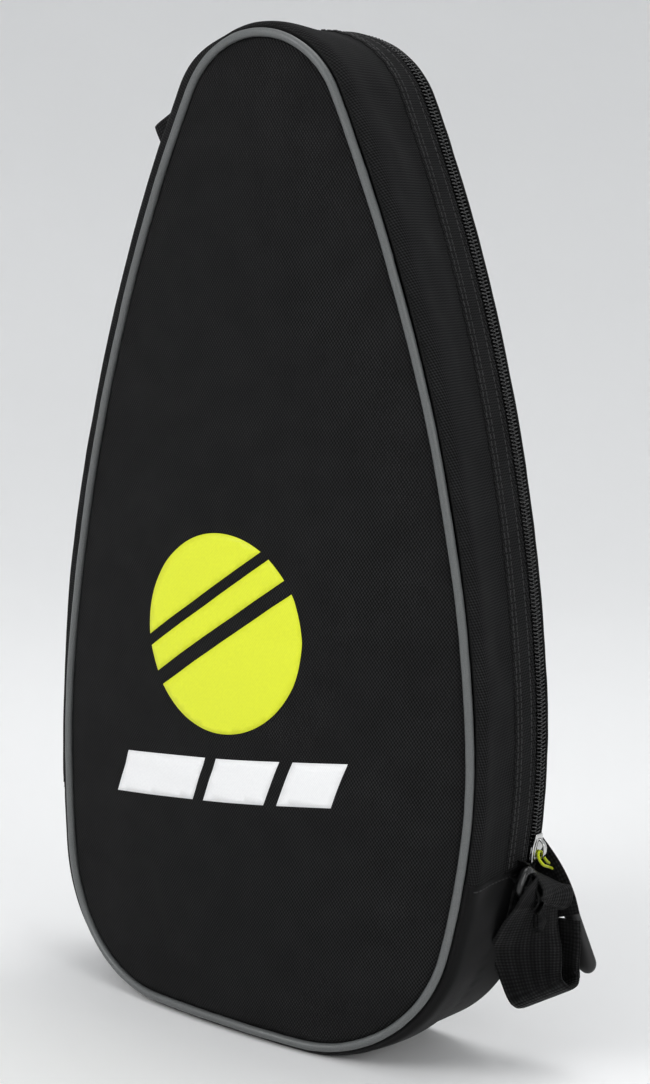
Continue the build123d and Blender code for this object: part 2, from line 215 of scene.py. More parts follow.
def cloth(name, low, high, pitch, kind, bump=0.12, roughness=0.8, sheen=0.25, wear=0.35, wavy=0.00012):
    """Woven fabric from a dark to a light colour or grey.

    pitch is one repeat in metres; kind is twill, plain, webbing or knit.
    """
    material, tree = blank(name)
    where = node(tree, "Attribute", {"attribute_name": "weave"}).outputs["Vector"]
    soft = node(tree, "TexNoise", Vector=where, Scale=60.0, Detail=3.0).outputs["Fac"]
    drift = node(tree, "TexNoise", Vector=where, Scale=90.0).outputs["Color"]
    shift = node(tree, "VectorMath", {"operation": "SCALE"}, _0=drift, Scale=wavy)
    moved = node(tree, "VectorMath", {"operation": "ADD"}, _0=where, _1=shift.outputs[0]).outputs[0]
    parts = node(tree, "SeparateXYZ", Vector=moved).outputs
    calc = calculator(tree)
    u = calc("MULTIPLY", parts[0], 2 * pi / pitch)
    v = calc("MULTIPLY", parts[1], 2 * pi / pitch)
    if kind == "twill":
        rows = calc("SINE", calc("MULTIPLY", v, 0.75))
        dots = calc("MULTIPLY", calc("SINE", u), rows)
        rib = calc("SINE", calc("ADD", u, calc("MULTIPLY", v, 0.75)))
        raised = calc("ADD", calc("MULTIPLY", dots, 0.75), calc("MULTIPLY", rib, 0.25))
    elif kind == "webbing":
        rows = calc("SINE", calc("ADD", u, v))
        columns = calc("SINE", calc("SUBTRACT", u, v))
        edge = calc("SINE", calc("MULTIPLY", v, 0.5))
        raised = calc("ADD", calc("MULTIPLY", rows, columns), calc("MULTIPLY", edge, 0.25))
    elif kind == "knit":
        raised = calc("SINE", u)
    else:
        raised = calc("MULTIPLY", calc("SINE", u), calc("SINE", v))
    level = calc("ADD", calc("MULTIPLY", raised, 0.5), 0.5)
    fibre = node(tree, "TexNoise", Vector=where, Scale=2600.0, Detail=2.0).outputs["Fac"]
    lift = calc("ADD", calc("MULTIPLY", level, 0.75), calc("MULTIPLY", fibre, 0.25))
    strength = calc("POWER", lift, 2.6)
    body = node(tree, "MixRGB", _0=strength, _1=grey(low), _2=grey(high)).outputs[0]
    patch = node(tree, "MapRange", Value=soft, _1=0.35, _2=0.75, _3=1.0 - wear, _4=1.0 + wear).outputs[0]
    colour = node(tree, "VectorMath", {"operation": "SCALE"}, _0=body, Scale=patch).outputs[0]
    rough = node(tree, "MapRange", Value=lift, _3=roughness + 0.08, _4=roughness - 0.08).outputs[0]
    relief = node(tree, "Bump", Strength=0.9, Distance=bump * MM, Height=lift).outputs[0]
    shader = node(tree, "BsdfPrincipled", Base_Color=colour, Roughness=rough, Normal=relief)
    shader.inputs["Sheen Weight"].default_value = sheen
    shader.inputs["Sheen Roughness"].default_value = 0.45
    shader.inputs["Specular IOR Level"].default_value = 0.06
    close(tree, shader)
    return material


def speckled(name, base, spot, scale, roughness, metallic=0.0, bump=0.03, coat=0.0):
    """Smooth moulded, coated or plated surface with fine mottling and uneven roughness."""
    material, tree = blank(name)
    where = node(tree, "TexCoord").outputs["Object"]
    grain = node(tree, "TexNoise", Vector=where, Scale=scale, Detail=4.0, Roughness=0.6).outputs["Fac"]
    broad = node(tree, "TexNoise", Vector=where, Scale=scale / 25, Detail=2.0).outputs["Fac"]
    mix = node(tree, "MapRange", Value=grain, _1=0.38, _2=0.7).outputs[0]
    colour = node(tree, "MixRGB", _0=mix, _1=base, _2=spot).outputs[0]
    calc = calculator(tree)
    blend = calc("ADD", calc("MULTIPLY", grain, 0.5), calc("MULTIPLY", broad, 0.5))
    duller = min(1.0, roughness * 1.25)
    rough = node(tree, "MapRange", Value=blend, _1=0.3, _2=0.7, _3=roughness * 0.8, _4=duller).outputs[0]
    relief = node(tree, "Bump", Strength=0.6, Distance=bump * MM, Height=blend).outputs[0]
    shader = node(tree, "BsdfPrincipled", Base_Color=colour, Roughness=rough, Normal=relief)
    shader.inputs["Metallic"].default_value = metallic
    shader.inputs["Coat Weight"].default_value = coat
    shader.inputs["Coat Roughness"].default_value = 0.2
    close(tree, shader)
    return material


def screen_print(name, colour, shade):
    """Thick rubbery ink over a weave, with the weave just showing through."""
    material, tree = blank(name)
    where = node(tree, "Attribute", {"attribute_name": "weave"}).outputs["Vector"]
    parts = node(tree, "SeparateXYZ", Vector=where).outputs
    calc = calculator(tree)
    pitch = 0.0011
    u = calc("MULTIPLY", parts[0], 2 * pi / pitch)
    v = calc("MULTIPLY", parts[1], 2 * pi / pitch * 0.8)
    rib = calc("SINE", calc("ADD", u, v))
    grain = node(tree, "TexNoise", Vector=where, Scale=900.0, Detail=3.0).outputs["Fac"]
    lift = calc("ADD", calc("MULTIPLY", rib, 0.3), grain)
    mix = node(tree, "MapRange", Value=lift, _1=0.1, _2=0.9).outputs[0]
    tint = node(tree, "MixRGB", _0=mix, _1=shade, _2=colour).outputs[0]
    rough = node(tree, "MapRange", Value=grain, _3=0.42, _4=0.6).outputs[0]
    relief = node(tree, "Bump", Strength=0.4, Distance=0.05 * MM, Height=lift).outputs[0]
    close(tree, node(tree, "BsdfPrincipled", Base_Color=tint, Roughness=rough, Normal=relief))
    return material


PIPING_GREYS = (0.075, 0.08, 0.08, 1), (0.12, 0.125, 0.125, 1)
PLATED_GREYS = (0.62, 0.62, 0.61, 1), (0.45, 0.45, 0.45, 1)
LIME_INKS = (0.74, 0.80, 0.016, 1), (0.66, 0.72, 0.012, 1)
WHITE_INKS = (0.86, 0.86, 0.86, 1), (0.78, 0.78, 0.79, 1)
LIME_BRAIDS = (0.45, 0.52, 0.01, 1), (0.78, 0.86, 0.04, 1)

MATERIALS = {
    "twill": cloth("twill_cloth", 0.0015, 0.050, 0.0015, "twill", bump=0.2, sheen=0.0, wear=0.14),
    "plain_cloth": cloth("plain_cloth", 0.005, 0.016, 0.0009, "plain", bump=0.05, sheen=0.05, wear=0.15),
    "lining": cloth(
        "lining_cloth", 0.018, 0.035, 0.0010, "plain", bump=0.08, roughness=0.7, sheen=0.05, wear=0.12
    ),
    "piping": speckled("reflective_piping", *PIPING_GREYS, 2600.0, 0.45, bump=0.05, coat=0.12),
    "lime_print": screen_print("lime_ink", *LIME_INKS),
    "white_print": screen_print("white_ink", *WHITE_INKS),
    "zip_tape": cloth("zip_tape_cloth", 0.004, 0.012, 0.0009, "knit", bump=0.12, sheen=0.03),
    "zip_coil": speckled("coil_plastic", grey(0.006), grey(0.012), 900.0, 0.25),
    "binding": cloth("binding_tape", 0.004, 0.014, 0.0011, "knit", bump=0.15, sheen=0.04),
    "webbing": cloth(
        "strap_webbing", 0.002, 0.026, 0.0030, "webbing", 0.4, 0.62, sheen=0.04, wear=0.2, wavy=0.00025
    ),
    "bright_metal": speckled("bright_plating", *PLATED_GREYS, 260.0, 0.16, metallic=1.0, bump=0.02),
    "lime_cord": cloth("lime_cord_braid", *LIME_BRAIDS, 0.0009, "twill"),
    "black_rubber": speckled("moulded_rubber", grey(0.005), grey(0.009), 1500.0, 0.55, bump=0.05),
    "black_plastic": speckled("moulded_plastic", grey(0.006), grey(0.011), 500.0, 0.3),
    "thread": speckled("black_thread", grey(0.010), grey(0.022), 4000.0, 0.6, bump=0.06),
}


# ---- Mesh helpers ----
def add_object(name, data):
    obj = bpy.data.objects.new(name, data)
    bpy.context.scene.collection.objects.link(obj)
    return obj


def mesh_object(name, points, faces, material, weave=None, smooth=True):
    """points in millimetres; weave holds each point's place on the cloth in millimetres."""
    mesh = bpy.data.meshes.new(name)
    points = np.asarray(points, float)
    mesh.from_pydata((points * MM).tolist(), [], faces)
    if weave is None:
        weave = points[:, [0, 2, 1]]
    weave = np.asarray(weave, float)
    if weave.shape[1] == 2:
        weave = np.hstack([weave, np.zeros((len(weave), 1))])
    layer = mesh.attributes.new("weave", "FLOAT_VECTOR", "POINT")
    layer.data.foreach_set("vector", (weave * MM).astype(np.float32).ravel())
    work = bmesh.new()
    work.from_mesh(mesh)
    bmesh.ops.recalc_face_normals(work, faces=work.faces)
    work.to_mesh(mesh)
    work.free()
    mesh.polygons.foreach_set("use_smooth", [smooth] * len(mesh.polygons))
    mesh.update()
    obj = add_object(name, mesh)
    mesh.materials.append(MATERIALS[material])
    obj["finish"] = material
    return obj


def grid_faces(rows, columns, wrap_rows, wrap_columns, first=0):
    faces = []
    for i in range(rows if wrap_rows else rows - 1):
        for j in range(columns if wrap_columns else columns - 1):
            a, b = i * columns, (i + 1) % rows * columns
            k = (j + 1) % columns
            faces.append((first + a + j, first + a + k, first + b + k, first + b + j))
    return faces


def loft(name, rings, material, closed=False, weave=None, capped=True):
    """Skin over rings, an array (rings, points, 3) of closed sections."""
    rings = np.asarray(rings, float)
    rows, columns = rings.shape[:2]
    faces = grid_faces(rows, columns, closed, True)
    if capped and not closed:
        faces.append(tuple(range(columns)))
        faces.append(tuple(range((rows - 1) * columns, rows * columns)))
    if weave is None:
        weave = np.stack(np.meshgrid(run_length(rings.mean(1)), run_length(rings[0]), indexing="ij"), -1)
    weave = np.asarray(weave).reshape(rows * columns, -1)
    return mesh_object(name, rings.reshape(-1, 3), faces, material, weave)


def many(name, sets, material, weave=None):
    """One object from many small lofts: array (pieces, rings, points, 3), all capped."""
    sets = np.asarray(sets, float)
    count, rows, columns = sets.shape[:3]
    faces = []
    for k in range(count):
        first = k * rows * columns
        faces += grid_faces(rows, columns, False, True, first)
        faces.append(tuple(range(first, first + columns)))
        faces.append(tuple(range(first + (rows - 1) * columns, first + rows * columns)))
    return mesh_object(name, sets.reshape(-1, 3), faces, material, weave)


def modify(obj, kind, **settings):
    modifier = obj.modifiers.new(kind.lower(), kind)
    for key, value in settings.items():
        setattr(modifier, key, value)
    bpy.context.view_layer.update()
    depsgraph = bpy.context.evaluated_depsgraph_get()
    mesh = bpy.data.meshes.new_from_object(obj.evaluated_get(depsgraph))
    obj.modifiers.clear()
    old = obj.data
    obj.data = mesh
    bpy.data.meshes.remove(old)
    return obj


def coordinates(obj):
    co = np.zeros(len(obj.data.vertices) * 3)
    obj.data.vertices.foreach_get("co", co)
    return co.reshape(-1, 3) / MM


def set_coordinates(obj, points):
    obj.data.vertices.foreach_set("co", (np.asarray(points) * MM).ravel())
    obj.data.update()


def finish_piece(obj, body, *nodes, slot=None):
    """Puts a piece on its body; a piece across the fold line (body None) stays unparented, its placement
    baked into the mesh.
    """
    if nodes:
        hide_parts(*nodes)
    del obj["finish"]
    if body:
        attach(obj, body)
    else:
        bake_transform(obj)
    return obj


def around(s, offset, y):
    """Points at an offset outside the piping line and a depth."""
    p, n = rim(s)
    xz = p + n * np.asarray(offset)[..., None]
    return np.stack([xz[..., 0], np.broadcast_to(y, xz[..., 0].shape), xz[..., 1]], -1)


# ---- Gusset skin ----
# The swell's share at a share of the way from the piping to the seam.
SWELL_SPOTS = [
    (0.0, 0.35), (0.04, 0.78), (0.11, 1.0), (0.22, 0.97), (0.38, 0.72), (0.62, 0.32), (0.84, 0.07), (1.0, 0.0)
]
CURVE = spline(SWELL_SPOTS, 120)
BULGE_LEFT, BULGE_RIGHT, BULGE_TOP = 6.2, 3.4, 0.6
COS_GRAIN, SIN_GRAIN = cos(radians(33)), sin(radians(33))


def skin(s, y):
    """Offset of the gusset's outer face at an arc length and a depth."""
    s, y = np.broadcast_arrays(np.asarray(s, float), np.asarray(y, float))
    p, n = rim(s)
    front = bow(p[..., 0]) + 0.8
    t = np.clip((y - front) / (Y_SEAM - front), 0, 1)
    swell = np.interp(t, CURVE[:, 0], CURVE[:, 1])
    tuck = 3.0 * np.exp(-t / 0.03)
    side = np.where(n[..., 0] < 0, BULGE_LEFT, BULGE_RIGHT) - BULGE_TOP
    side = side * ease((np.abs(n[..., 0]) - 0.42) / 0.5) * (1 - 0.5 * ease((240 - p[..., 1]) / 110))
    side = BULGE_TOP + side + 0.7 * wanders(s / 70, y / 90, 3.1)
    folds = wanders(s / 34, y / 24 + s / 75, 7.7) * 2.0 + wanders(s / 11, y / 30, 1.3) * 0.45
    window = np.sin(pi * np.clip(t, 0, 1)) ** 0.8
    pucker = 0.28 * np.sin(s / 1.15 + 2 * wanders(s / 17, 0 * s, 5.0)) * np.exp(-np.abs(y - Y_SEAM) / 2.2)
    gather = 1.5 * wanders(s / 5.5, y / 22, 9.2) * np.exp(-np.abs(seam_distance(s)) / 9.0) * window
    offset = GUSSET_OUT + 0.2 + swell * side + folds * window * 0.8 + pucker + gather - tuck
    low = np.where(n[..., 1] < -0.02, (p[..., 1] - 0.15) / np.maximum(-n[..., 1], 0.02), 99)
    return np.minimum(offset, low)


S_CROSS = height_s(CROSS_SEAM_Z)


STITCH_PITCH, STITCH_RADIUS = 3.1, 0.32


def seam_distance(s):
    """Distance along the outline from the nearer cross seam."""
    s = np.mod(s, RIM)
    return np.minimum(np.abs(s - S_CROSS), np.abs(s - (RIM - S_CROSS)))


def strip(name, start, end, y_low, y_high, lift, thick, material, columns, fold=0.0):
    """A strip of the gusset between two depths; y_low may be a function of s."""
    count = int(round((end - start) / 2.2)) + 1
    s = np.linspace(start, end, count)
    low = y_low(s) if callable(y_low) else np.full_like(s, y_low)
    t = 0.5 - 0.5 * np.cos(np.linspace(0, pi, columns)) if fold else np.linspace(0, 1, columns)
    y = low[:, None] + (y_high - low)[:, None] * t[None, :]
    ss = np.broadcast_to(s[:, None], y.shape)
    rolled = fold * np.exp(-((y_high - y) / 1.6) ** 2) - 0.35 * np.exp(-((y - low[:, None]) / 0.8))
    outer = skin(ss, y) + lift + rolled
    inner = np.maximum(np.minimum(outer - thick, GUSSET_OUT + 6), 3.05)
    ring = np.concatenate([around(ss, outer, y), around(ss, inner, y)[:, ::-1]], 1)
    steps = np.hypot(np.diff(outer, axis=1), np.diff(y, axis=1))
    across = np.concatenate([np.zeros((count, 1)), np.cumsum(steps, 1)], 1)
    turned = np.stack([ss * COS_GRAIN + across * SIN_GRAIN, across * COS_GRAIN - ss * SIN_GRAIN], -1)
    weave = np.concatenate([turned, turned[:, ::-1] + 60], 1)
    return loft(name, ring, material, weave=weave)


def stitches(name, start, end, y, lift, surface=skin, across_cloth=False):
    """A row of raised stitches along the outline; surface gives the offset that they lie on."""
    count = int((end - start) / STITCH_PITCH)
    first = start + (np.arange(count) + 0.5) * STITCH_PITCH
    spots = np.array([-0.42, -0.32, 0.32, 0.42]) * STITCH_PITCH * 0.92
    size = np.array([0.25, 1.0, 1.0, 0.25]) * STITCH_RADIUS
    s = first[:, None] + spots[None, :]
    depth = y(s) if callable(y) else np.full_like(s, y)
    p, n = rim(s)
    offset = surface(s, depth) + lift
    turn = turns(6)
    thread = size[None, :, None]
    out = offset[..., None] + thread * np.cos(turn)
    back = depth[..., None] + thread * np.sin(turn)
    if across_cloth:
        out = offset[..., None] + thread * np.sin(turn)
        back = depth[..., None] + lift + thread * np.cos(turn)
    xz = p[:, :, None, :] + n[:, :, None, :] * out[..., None]
    rings = np.stack([xz[..., 0], back, xz[..., 1]], -1)
    return many(name, rings, "thread")


def front_edge(s):
    return bow(rim(s)[0][:, 0]) + 0.8


def gusset():
    top = S_CROSS, RIM - S_CROSS
    side = strip("side_gusset_cloth", *top, front_edge, Y_SEAM + 0.6, 0.0, 1.3, "twill", 34)
    finish_piece(side, "case", "side_gusset")
    bottom = -S_CROSS - 0.6, S_CROSS + 0.6
    base = strip("bottom_gusset_cloth", *bottom, front_edge, Y_BACK - 1.3, 0.12, 1.4, "plain_cloth", 44)
    finish_piece(base, "case", "bottom_gusset")
    band = strip("zip_band_cloth", *top, Y_SEAM, Y_BAND, 0.75, 1.5, "twill", 22, fold=0.75)
    finish_piece(band, "case", "zip_band")
    for index, y in enumerate((Y_SEAM + 1.6, Y_SEAM + 4.4, Y_BAND - 2.6)):
        row = stitches(f"band_stitches_{index + 1}", S_CROSS + 2, RIM - S_CROSS - 2, y, 0.80)
        finish_piece(row, "case", slot="plain_cloth")
    finish_piece(cross_seam_stitches(), "case", slot="plain_cloth")


def cross_seam_stitches():
    """Stitches beside both cross seams, from front to back."""
    rings = []
    turn = turns(6)
    for s0 in (S_CROSS - 2.2, -S_CROSS + 2.2):
        y0 = float(front_edge(np.array([s0]))[0]) + 3
        for y in np.arange(y0, Y_BACK - 5, 3.0):
            spots = y + np.array([-1.25, -0.95, 0.95, 1.25])
            size = np.array([0.08, 0.3, 0.3, 0.08])
            s = np.full(4, s0)
            out = skin(s, spots) + 0.15
            p, n = rim(s)
            piece = []
            for k in range(4):
                along = np.array([-n[k, 1], n[k, 0]])
                xz = p[k] + n[k] * (out[k] + size[k] * np.cos(turn))[:, None]
                xz = xz + along * (size[k] * np.sin(turn))[:, None]
                piece.append(np.stack([xz[:, 0], np.full(6, spots[k]), xz[:, 1]], -1))
            rings.append(piece)
    return many("cross_seam_stitches", rings, "thread")


def band_loop(name, section, start, end, material, closed=False, step=2.0, sway=0.0):
    """A section of (offset, depth) pairs carried round the outline; depth may follow the bow."""
    count = int(round((end - start) / step)) + (0 if closed else 1)
    s = np.linspace(start, end, count, endpoint=not closed)
    if callable(section):
        pairs = section(s)
    else:
        pairs = np.broadcast_to(np.asarray(section, float), (count, len(section), 2))
    ss = np.broadcast_to(s[:, None], pairs.shape[:2])
    ripple = sway * wanders(s / 9, 0 * s, 4.4)[:, None]
    rings = around(ss, pairs[..., 0] + ripple, pairs[..., 1])
    weave = np.stack([ss, np.broadcast_to(run_length(pairs[0]), ss.shape)], -1)
    return loft(name, rings, material, closed=closed, weave=weave)


# ---- Piping ----
def piping():
    turn = turns(14)

    def section(s):
        x = rim(s)[0][:, 0]
        radius = 1.95 + 0.08 * wanders(s / 14, 0 * s, 2.0) + 0.05 * wanders(s / 4, 0 * s, 8.0)
        sway = 0.25 * wanders(s / 45, 0 * s, 6.0) + 0.10 * wanders(s / 12, 0 * s, 9.0)
        offset = sway[:, None] + radius[:, None] * np.cos(turn)
        depth = (bow(x) - 0.35 + 0.3 * wanders(s / 38, 0 * s, 11.0))[:, None] + radius[:, None] * np.sin(turn)
        return np.stack([offset, depth], -1)

    piece = band_loop("edge_piping", section, 0, RIM, "piping", closed=True, step=1.6)
    finish_piece(piece, "case", "front_piping")


# ---- Panels ----
def inside(points, loop):
    """Which points lie inside a closed loop."""
    x, y = points[:, 0:1], points[:, 1:2]
    ax, ay = loop[:, 0], loop[:, 1]
    bx, by = np.roll(ax, -1), np.roll(ay, -1)
    crosses = (ay > y) != (by > y)
    at = (bx - ax) * (y - ay) / np.where(by == ay, 1e-9, by - ay) + ax
    return (crosses & (x < at)).sum(1) % 2 == 1


def triangulated(loops, spacing, margin):
    """Even triangles inside a loop; margin keeps inner points off its edge."""
    loop = loops[0]
    low, high = loop.min(0), loop.max(0)
    rows = np.arange(low[1], high[1], spacing * 0.866)
    grid = []
    for k, z in enumerate(rows):
        xs = np.arange(low[0] + (k % 2) * spacing / 2, high[0], spacing)
        grid.append(np.stack([xs, np.full_like(xs, z)], -1))
    grid = np.vstack(grid)
    near = KDTree(len(loop))
    for i, p in enumerate(loop):
        near.insert((p[0], p[1], 0), i)
    near.balance()
    keep = inside(grid, loop)
    far = np.array([near.find((p[0], p[1], 0))[2] > margin for p in grid])
    grid = grid[keep & far]
    points = [Vector(p) for p in loop]
    edges = [(i, (i + 1) % len(loop)) for i in range(len(loop))]
    for extra in loops[1:]:
        points += [Vector(p) for p in extra]
    points += [Vector(p) for p in grid]
    verts, _, faces, *_ = delaunay_2d_cdt(points, edges, [], 1, 1e-5)
    return np.array([tuple(v) for v in verts]), [tuple(f) for f in faces]


def panel(offset, spacing):
    s = np.arange(0, RIM, spacing * 0.8)
    p, n = rim(s)
    return triangulated([p + n * offset, p + n * (offset - spacing * 0.7)], spacing, spacing * 1.25)


CLOTH_FRAMES = 20
CLOTH_SETTINGS = {
    "quality": 6,
    "mass": 0.3,
    "tension_stiffness": 12,
    "compression_stiffness": 12,
    "shear_stiffness": 5,
    "bending_stiffness": 0.6,
    "use_pressure": True,
    "uniform_pressure_force": 4.0,
    "shrink_min": -0.012,
}


def puffed(obj, swell, rim_width):
    """Cloth simulation: the held edge stays and pressure lifts the middle; the lift is scaled to swell."""
    start = coordinates(obj)
    near = nearest(start)[1]
    held = [int(i) for i in np.nonzero(near < rim_width)[0]]
    group = obj.vertex_groups.new(name="held")
    group.add(held, 1.0, "REPLACE")
    modifier = obj.modifiers.new("cloth", "CLOTH")
    for setting, value in CLOTH_SETTINGS.items():
        setattr(modifier.settings, setting, value)
    modifier.settings.effector_weights.gravity = 0.0
    modifier.settings.vertex_group_mass = "held"
    modifier.point_cache.frame_start = 1
    modifier.point_cache.frame_end = CLOTH_FRAMES
    scene = bpy.context.scene
    for step in range(1, CLOTH_FRAMES + 1):
        scene.frame_set(step)
    depsgraph = bpy.context.evaluated_depsgraph_get()
    moved = bpy.data.meshes.new_from_object(obj.evaluated_get(depsgraph))
    co = np.zeros(len(moved.vertices) * 3)
    moved.vertices.foreach_get("co", co)
    bpy.data.meshes.remove(moved)
    obj.modifiers.clear()
    obj.vertex_groups.clear()
    scene.frame_set(1)
    shift = np.abs(co.reshape(-1, 3)[:, 1] / MM - start[:, 1])
    shift = np.nan_to_num(shift)
    top = max(np.percentile(shift, 98), 1e-6)
    return start, np.clip(shift / top, 0, 1.1) * swell


RIM_S = np.arange(0, RIM, 1.0)
RIM_TREE = KDTree(len(RIM_S))
for index, spot in enumerate(rim(RIM_S)[0]):
    RIM_TREE.insert((spot[0], spot[1], 0), index)
RIM_TREE.balance()


def nearest(points):
    """Index of the nearest sample of the piping line, and the distance from it, for each point."""
    found = [RIM_TREE.find((p[0], p[2], 0)) for p in points]
    return np.array([f[1] for f in found]), np.array([f[2] for f in found])


def padded_panel(name, offset, base, swell, outward, thick, material, body, nodes, spacing=4.0):
    """A padded panel: puffed by cloth simulation, puckered along its seam, then given its thickness."""
    flat, faces = panel(offset, spacing)
    y = base(flat[:, 0], flat[:, 1])
    obj = mesh_object(name, np.stack([flat[:, 0], y, flat[:, 1]], -1), faces, material)
    start, shift = puffed(obj, swell, abs(offset) + 2.0)
    start[:, 1] += outward * shift
    set_coordinates(obj, start)
    obj = modify(obj, "SUBSURF", levels=1, render_levels=1, subdivision_type="CATMULL_CLARK")
    points = coordinates(obj)
    index, near = nearest(points)
    s = RIM_S[index]
    tight = np.exp(-near / 7.0)
    pucker = 0.55 * wanders(s / 7.0, near / 18.0, 2.2) * tight * ease(near / 3.0)
    x, z = points[:, 0], points[:, 2]
    drift = 0.45 * wanders(x / 55, z / 60, 5.5) + 0.12 * wanders(x / 14, z / 19, 6.5)
    roll = 0.9 * np.exp(-((near - abs(offset)) / 1.6) ** 2)
    points[:, 1] += outward * (pucker + drift * ease(near / 25.0) - roll)
    set_coordinates(obj, points)
    layer = obj.data.attributes["weave"]
    layer.data.foreach_set("vector", (points[:, [0, 2, 1]] * MM).astype(np.float32).ravel())
    outer = BVHTree.FromPolygons([Vector(p) for p in points], [tuple(f.vertices) for f in obj.data.polygons])
    make_thick(obj, thick, outward)
    finish_piece(obj, body, *nodes)
    return obj, outer


def make_thick(obj, thick, outward):
    """Adds the inner face and edge, thick away from the outward side."""
    mesh = obj.data
    work = bmesh.new()
    work.from_mesh(mesh)
    bmesh.ops.recalc_face_normals(work, faces=work.faces)
    total = sum(f.normal.y * f.calc_area() for f in work.faces)
    if total * outward < 0:
        bmesh.ops.reverse_faces(work, faces=work.faces)
    copy = bmesh.ops.duplicate(work, geom=work.faces[:] + work.verts[:] + work.edges[:])
    new_faces = [f for f in copy["geom"] if isinstance(f, bmesh.types.BMFace)]
    bmesh.ops.reverse_faces(work, faces=new_faces)
    fresh = {v for f in new_faces for v in f.verts}
    for v in fresh:
        v.co.y -= outward * thick * MM
    rims = [e for e in work.edges if e.is_boundary]
    bmesh.ops.bridge_loops(work, edges=rims)
    bmesh.ops.recalc_face_normals(work, faces=work.faces)
    for f in work.faces:
        f.smooth = True
    work.to_mesh(mesh)
    work.free()
    mesh.update()


def lining_sheet(name, offset, base, thick, outward, body, nodes):
    flat, faces = panel(offset, 7.0)
    ripple = 0.5 * wanders(flat[:, 0] / 40, flat[:, 1] / 45, 12.0)
    y = base(flat[:, 0], flat[:, 1]) + ripple
    obj = mesh_object(name, np.stack([flat[:, 0], y, flat[:, 1]], -1), faces, "lining")
    make_thick(obj, thick, outward)
    finish_piece(obj, body, *nodes)


# ---- Prints ----
def rounded(points, step=2.0):
    """Closed polygon resampled at even steps."""
    points = np.asarray(points, float)
    result = []
    for a, b in zip(points, np.roll(points, -1, axis=0)):
        count = max(1, int(np.linalg.norm(b - a) / step))
        result += [a + (b - a) * k / count for k in range(count)]
    return np.array(result)


def printed(name, shapes, surface, material, node_name):
    """Flat shapes laid on the front cloth as a thin skin of ink."""
    points, faces = [], []
    for shape in shapes:
        flat, found = triangulated([shape], 3.0, 2.0)
        first = len(points)
        for x, z in flat:
            hit = surface.ray_cast(Vector((x, -200, z)), Vector((0, 1, 0)))[0]
            points.append((x, (hit.y if hit else bow(x)) - 0.22, z))
        faces += [tuple(i + first for i in f) for f in found]
    obj = mesh_object(name, points, faces, material)
    thick_print(obj)
    finish_piece(obj, "case", node_name)


def thick_print(obj):
    work = bmesh.new()
    work.from_mesh(obj.data)
    made = bmesh.ops.extrude_face_region(work, geom=work.faces[:])
    for v in [g for g in made["geom"] if isinstance(g, bmesh.types.BMVert)]:
        v.co.y -= 0.1 * MM
    bmesh.ops.recalc_face_normals(work, faces=work.faces)
    for f in work.faces:
        f.smooth = abs(f.normal.y) > 0.5
    work.to_mesh(obj.data)
    work.free()


EMBLEM_CENTRE = (-8.0, 186.0)
EMBLEM_RADIUS = 46.0
EMBLEM_TILT = 35.0
EMBLEM_BANDS = [(-EMBLEM_RADIUS, -3.5), (3.5, 15.5), (20.5, EMBLEM_RADIUS)]
BAR_CENTRE = (0.0, 119.0)
BAR_TILT = 7.5
BAR_BLOCKS = [(-72, -18), (-11, 25), (32, 60)]
BAR_HALF = 10
BAR_SLANT = 5


def emblem_shapes():
    """A disc crossed by two clear stripes."""
    shapes = []
    for low, high in EMBLEM_BANDS:
        if low == -EMBLEM_RADIUS:
            edge = np.arcsin(high / EMBLEM_RADIUS)
            angle = np.linspace(edge, -pi - edge, 70)
            loop = np.stack([np.cos(angle), np.sin(angle)], -1) * EMBLEM_RADIUS
        elif high == EMBLEM_RADIUS:
            edge = np.arcsin(low / EMBLEM_RADIUS)
            angle = np.linspace(edge, pi - edge, 60)
            loop = np.stack([np.cos(angle), np.sin(angle)], -1) * EMBLEM_RADIUS
        else:
            v = np.linspace(low, high, 40)
            u = np.sqrt(EMBLEM_RADIUS**2 - v**2)
            loop = np.vstack([np.stack([u, v], -1), np.stack([-u, v], -1)[::-1]])
        shapes.append(turned(rounded(loop), EMBLEM_TILT, EMBLEM_CENTRE))
    return shapes


def bar_shapes():
    """Three slanted blocks in a row."""
    shapes = []
    for left, right in BAR_BLOCKS:
        low = [(left - BAR_SLANT, -BAR_HALF), (right - BAR_SLANT, -BAR_HALF)]
        high = [(right + BAR_SLANT, BAR_HALF), (left + BAR_SLANT, BAR_HALF)]
        shapes.append(turned(rounded(low + high), BAR_TILT, BAR_CENTRE))
    return shapes


# ---- Zip ----
COIL_PITCH = 1.7
COIL_OFFSET = 4.35  # middle of the chain, outside the piping line
CHAIN_LOW = height_s(CROSS_SEAM_Z + 2.2)


def coil(name, middle, way, shift, body, nodes):
    """One half of the chain: a flattened spiral of thick thread."""
    steps, sides = 10, 6
    turns = int((RIM - 2 * CHAIN_LOW) / COIL_PITCH)
    angle = np.arange(turns * steps) * 2 * pi / steps
    s = CHAIN_LOW + (shift + angle / (2 * pi)) * COIL_PITCH
    offset = COIL_OFFSET + 0.92 * np.sin(angle)
    y = middle + way * 1.75 * np.cos(angle)
    centre = around(s, offset, y)
    along = unit(np.gradient(centre, axis=0))
    out = centre - around(s, np.full_like(y, COIL_OFFSET), middle)
    out = unit(out - along * (out * along).sum(1, keepdims=True))
    side = np.cross(along, out)
    head = 0.36 + 0.10 * np.exp(-((np.cos(angle) - 1) / 0.25) ** 2)
    rings = circles(centre, head, out, side, sides)
    finish_piece(loft(name, rings, "zip_coil"), body, *nodes)


def tape(name, low, high, body, nodes):
    section = [(2.2, low), (2.2, high), (2.55, high + 0.12), (3.0, high), (3.0, (low + high) / 2), (3.0, low)]
    piece = band_loop(name, section, S_CROSS + 0.4, RIM - S_CROSS - 0.4, "zip_tape")
    finish_piece(piece, body, *nodes)


